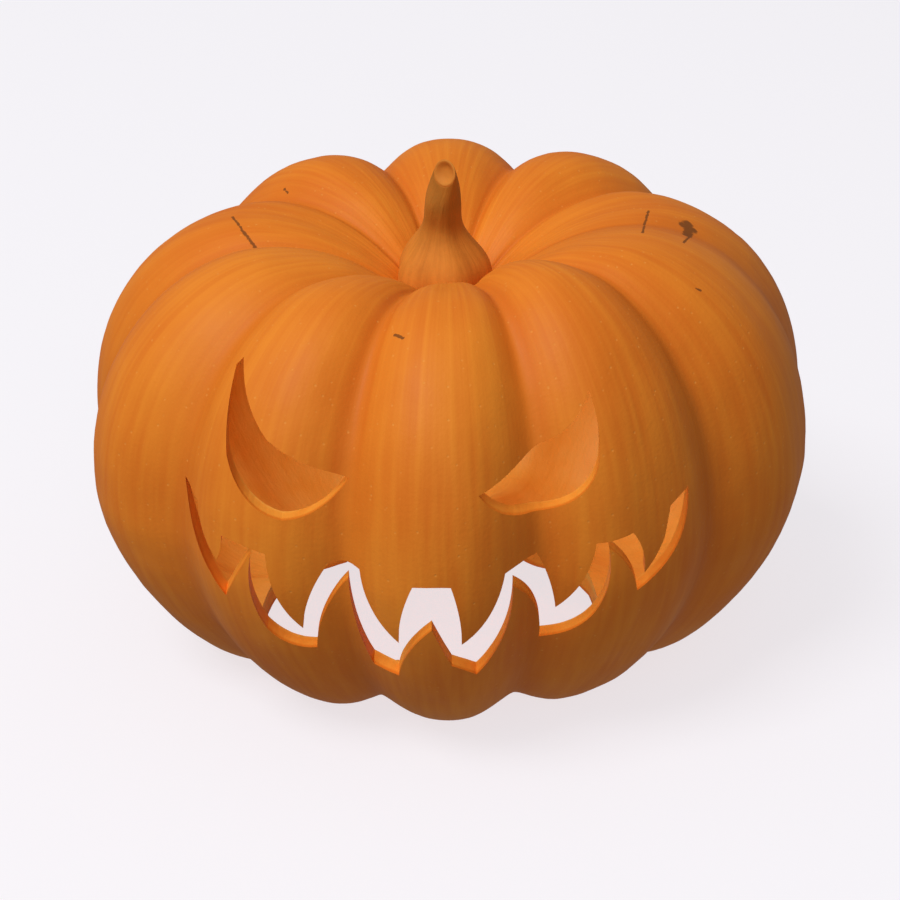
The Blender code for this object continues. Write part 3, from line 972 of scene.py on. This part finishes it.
FLOOR_REACH = 4.0
PAPER = (0.42, 0.412, 0.428, 1.0)
PAPER_GLOW = (0.555, 0.544, 0.568, 1.0)
floor_mesh = bpy.data.meshes.new("floor")
corners = [(x * FLOOR_REACH, y * FLOOR_REACH, 0.0) for x, y in ((-1, -1), (1, -1), (1, 1), (-1, 1))]
floor_mesh.from_pydata(corners, [], [(0, 1, 2, 3)])
floor = bpy.data.objects.new("floor", floor_mesh)
bpy.context.scene.collection.objects.link(floor)
paper, shader, bench = new_material(
    "floor_paper",
    Base_Color=PAPER,
    Roughness=0.95,
    Specular_IOR_Level=0.1,
    Emission_Color=PAPER_GLOW,
    Emission_Strength=1.0,
)
floor_mesh.materials.append(paper)
floor.visible_diffuse = False  # the paper throws no light back up at the fruit
floor.visible_glossy = False


def soft_light(name, towards, distance, size, brightness, shadows=True):
    """A square soft light that looks at the fruit. brightness is how light it makes white paper."""
    lamp = bpy.data.lights.new(name, "AREA")
    lamp.shape = "SQUARE"
    lamp.size = size
    lamp.energy = brightness * (math.pi * distance) ** 2
    lamp.use_shadow = shadows
    made = bpy.data.objects.new(name, lamp)
    towards = towards.normalized()
    turned = towards.to_track_quat("Z", "Y").to_matrix().to_4x4()
    made.matrix_world = Matrix.Translation(CENTRE + towards * distance) @ turned
    bpy.context.scene.collection.objects.link(made)


HIGH_LEFT, FRONT = Vector((-0.4225, -0.3119, 0.8499)), Vector((0.05, -0.88, 0.46))
KEY_DISTANCE, KEY_SIZE = 8.0, 3.6
KEY_BRIGHTNESS, THROUGH_BRIGHTNESS = 0.30, 0.46  # the second casts no shadow and keeps the grooves light
FILL_DISTANCE, FILL_SIZE, FILL_BRIGHTNESS = 1.3, 0.35, 0.05
SURROUND_BRIGHTNESS = 0.27
soft_light("key", HIGH_LEFT, KEY_DISTANCE, KEY_SIZE, KEY_BRIGHTNESS)
soft_light("key_through", HIGH_LEFT, KEY_DISTANCE, KEY_SIZE, THROUGH_BRIGHTNESS, shadows=False)
soft_light("fill", FRONT, FILL_DISTANCE, FILL_SIZE, FILL_BRIGHTNESS)
world = bpy.data.worlds.new("studio")
world.use_nodes = True
surround = world.node_tree.nodes["Background"]
surround.inputs["Color"].default_value = (1.0, 1.0, 1.0, 1.0)
surround.inputs["Strength"].default_value = SURROUND_BRIGHTNESS
bpy.context.scene.world = world
bpy.context.scene.view_settings.view_transform = "Standard"

CAMERA_DISTANCE = 0.9350
CAMERA_DROP = math.radians(26.08)  # how far below level it looks
CAMERA_ROLL = math.radians(-0.957)
SENSOR, LENS = 36.0, 91.48  # in millimetres
SHIFT = (-0.00078, -0.02201)  # in shares of the sensor
camera_data = bpy.data.cameras.new("camera")
camera = bpy.data.objects.new("camera", camera_data)
bpy.context.scene.collection.objects.link(camera)
ahead = Vector((0.0, math.cos(CAMERA_DROP), -math.sin(CAMERA_DROP)))
level = Vector((1.0, 0.0, 0.0))
above = level.cross(ahead)
right = level * math.cos(CAMERA_ROLL) + above * math.sin(CAMERA_ROLL)
upwards = above * math.cos(CAMERA_ROLL) - level * math.sin(CAMERA_ROLL)
stance = Matrix((right, upwards, -ahead)).transposed().to_4x4()
stance.translation = CENTRE - ahead * CAMERA_DISTANCE
camera.matrix_world = stance
camera_data.sensor_width = SENSOR
camera_data.lens = LENS
camera_data.shift_x, camera_data.shift_y = SHIFT
bpy.context.scene.camera = camera
